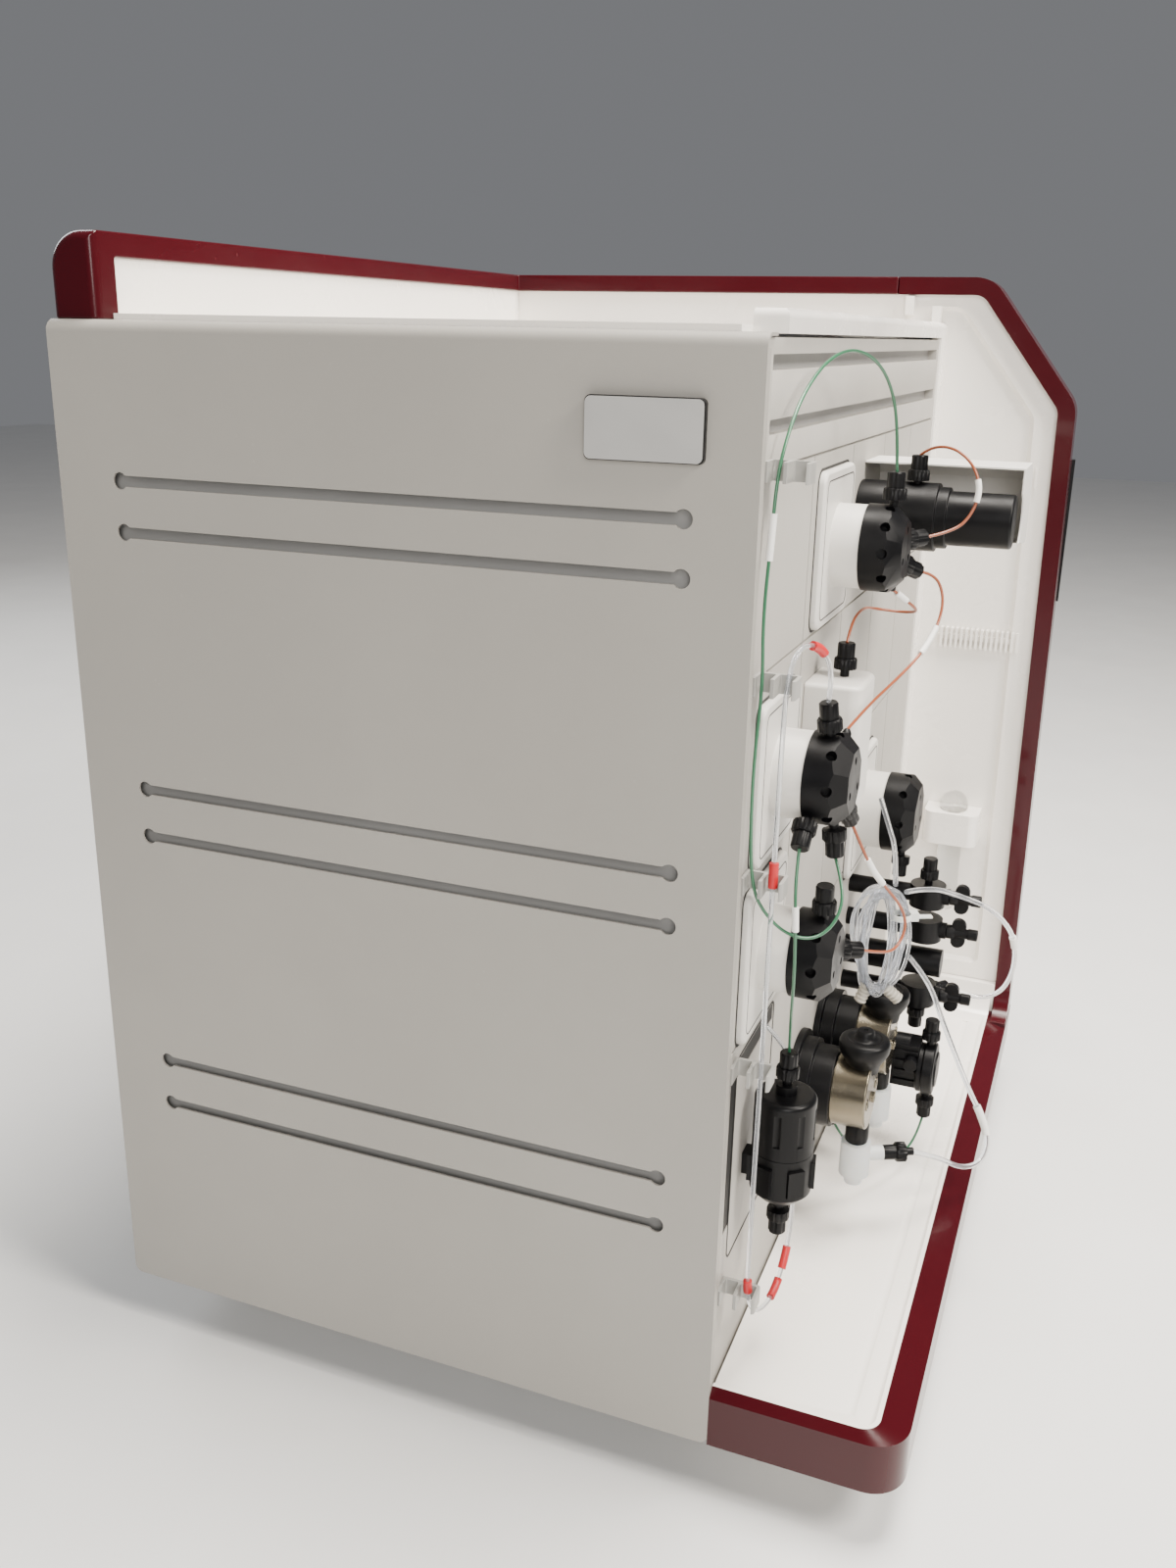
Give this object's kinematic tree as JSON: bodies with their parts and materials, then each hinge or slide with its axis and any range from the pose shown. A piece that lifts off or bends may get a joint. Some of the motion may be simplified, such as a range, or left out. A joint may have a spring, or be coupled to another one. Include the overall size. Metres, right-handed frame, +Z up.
{
  "type": "fast protein liquid chromatography system",
  "caption": "Bench-top liquid chromatography instrument with an open wet side of valves, pumps and tubing above a drip tray, and a tray on top.",
  "frame": {"origin": "middle of the footprint, on the standing surface", "axes": "+X right when facing the wet side, +Y to the rear, +Z up"},
  "size_m": [0.543, 0.4767, 0.63],
  "materials": {
    "cover_paint": "warm light grey, finely textured paint",
    "white_shell": "glossy white moulding",
    "dark_trim": "glossy dark red moulding",
    "grey_panel": "matt warm grey paint",
    "rear_paint": "matt warm grey paint",
    "inner_housing": "plain grey, out of sight",
    "foot_rubber": "matt black",
    "base_plastic": "satin off-white",
    "black_plastic": "satin black",
    "grey_sheet": "satin grey sheet",
    "steel": "brushed, turned face",
    "ceramic": "white ceramic",
    "frosted": "frosted translucent plastic",
    "clip_grey": "satin light grey",
    "clear": "clear plastic",
    "green": "satin green tubing",
    "orange": "satin orange tubing",
    "button_grey": "satin grey",
    "tag_metal": "brushed silver, bare"
  },
  "bodies": {
    "instrument": {"side_cover": "cover_paint", "chassis": "inner_housing", "rear_cover": "rear_paint", "feet": "foot_rubber", "right_wall": "white_shell", "front_trim": "dark_trim", "top_trim": "dark_trim", "top_tray": "white_shell", "drip_tray": "white_shell", "wet_panel": "grey_panel", "tube_fittings": "black_plastic", "uv_cell": "black_plastic", "uv_cover": "grey_sheet", "conductivity_block": "base_plastic", "check_valves": "black_plastic", "rinse_chambers": "frosted", "pressure_monitor": "black_plastic", "purge_valves": "black_plastic", "mixer_cap": "black_plastic", "mixer_chamber": "black_plastic", "tube_clips": "clip_grey", "tube_holder": "white_shell", "rinse_tube": "clear", "control_panel": "black_plastic", "mains_inlet": "black_plastic", "asset_plate": "tag_metal", "tube_hank": "clear", "green_tube_upper": "green", "green_tube_mixer": "green", "orange_tube_1": "orange", "orange_tube_2": "orange", "orange_tube_3": "orange", "orange_tube_4": "orange", "clear_loop_1": "clear", "clear_loop_2": "clear", "waste_tube": "clear", "pump_tube": "green", "inlet_tube": "clear", "pump_body_left": "black_plastic", "pump_head_left": "steel", "pump_body_right": "black_plastic", "pump_head_right": "steel", "valve_base_1": "base_plastic", "valve_head_1": "black_plastic", "valve_base_2": "base_plastic", "valve_head_2": "black_plastic", "valve_base_3": "base_plastic", "valve_head_3": "black_plastic", "valve_base_4": "base_plastic", "valve_head_4": "black_plastic"},
    "knob_1": {"purge_knob_1": "black_plastic"},
    "knob_2": {"purge_knob_2": "black_plastic"},
    "knob_3": {"purge_knob_3": "black_plastic"},
    "power_button": {"button_power": "button_grey"},
    "pause_button": {"button_pause": "button_grey"},
    "continue_button": {"button_continue": "button_grey"},
    "rocker": {"power_rocker": "black_plastic"},
    "fan": {"fan_rotor": "black_plastic"},
    "left_piston": {"piston_left": "ceramic"},
    "right_piston": {"piston_right": "ceramic"}
  },
  "joints": [
    {"name": "purge_knob_1_turn", "type": "hinge", "parent": "instrument", "child": "knob_1", "pos_m": [0.038, -0.193, 0.238], "axis": [0, -1, 0], "range_deg": [0, 180]},
    {"name": "purge_knob_2_turn", "type": "hinge", "parent": "instrument", "child": "knob_2", "pos_m": [0.038, -0.193, 0.214], "axis": [0, -1, 0], "range_deg": [0, 180]},
    {"name": "purge_knob_3_turn", "type": "hinge", "parent": "instrument", "child": "knob_3", "pos_m": [0.038, -0.193, 0.167], "axis": [0, -1, 0], "range_deg": [0, 180]},
    {"name": "power_press", "type": "slide", "parent": "instrument", "child": "power_button", "axis": [-1, 0, 0], "range_m": [0, 0.001], "stiffness_N_per_m": 900},
    {"name": "pause_press", "type": "slide", "parent": "instrument", "child": "pause_button", "axis": [-1, 0, 0], "range_m": [0, 0.001], "stiffness_N_per_m": 900},
    {"name": "continue_press", "type": "slide", "parent": "instrument", "child": "continue_button", "axis": [-1, 0, 0], "range_m": [0, 0.001], "stiffness_N_per_m": 900},
    {"name": "rocker_tilt", "type": "hinge", "parent": "instrument", "child": "rocker", "pos_m": [-0.146, 0.233, 0.12], "axis": [-1, 0, 0], "range_deg": [0, 16]},
    {"name": "fan_spin", "type": "hinge", "parent": "instrument", "child": "fan", "pos_m": [0.12, 0.2235, 0.43], "axis": [0, 1, 0], "continuous": true},
    {"name": "left_piston_stroke", "type": "slide", "parent": "instrument", "child": "left_piston", "axis": [0, -1, 0], "range_m": [-0.004, 0.004]},
    {"name": "right_piston_stroke", "type": "slide", "parent": "instrument", "child": "right_piston", "axis": [0, -1, 0], "range_m": [-0.004, 0.004]}
  ],
  "couplings": [
    {"joint": "right_piston_stroke", "follows": "left_piston_stroke", "ratio": -1}
  ]
}
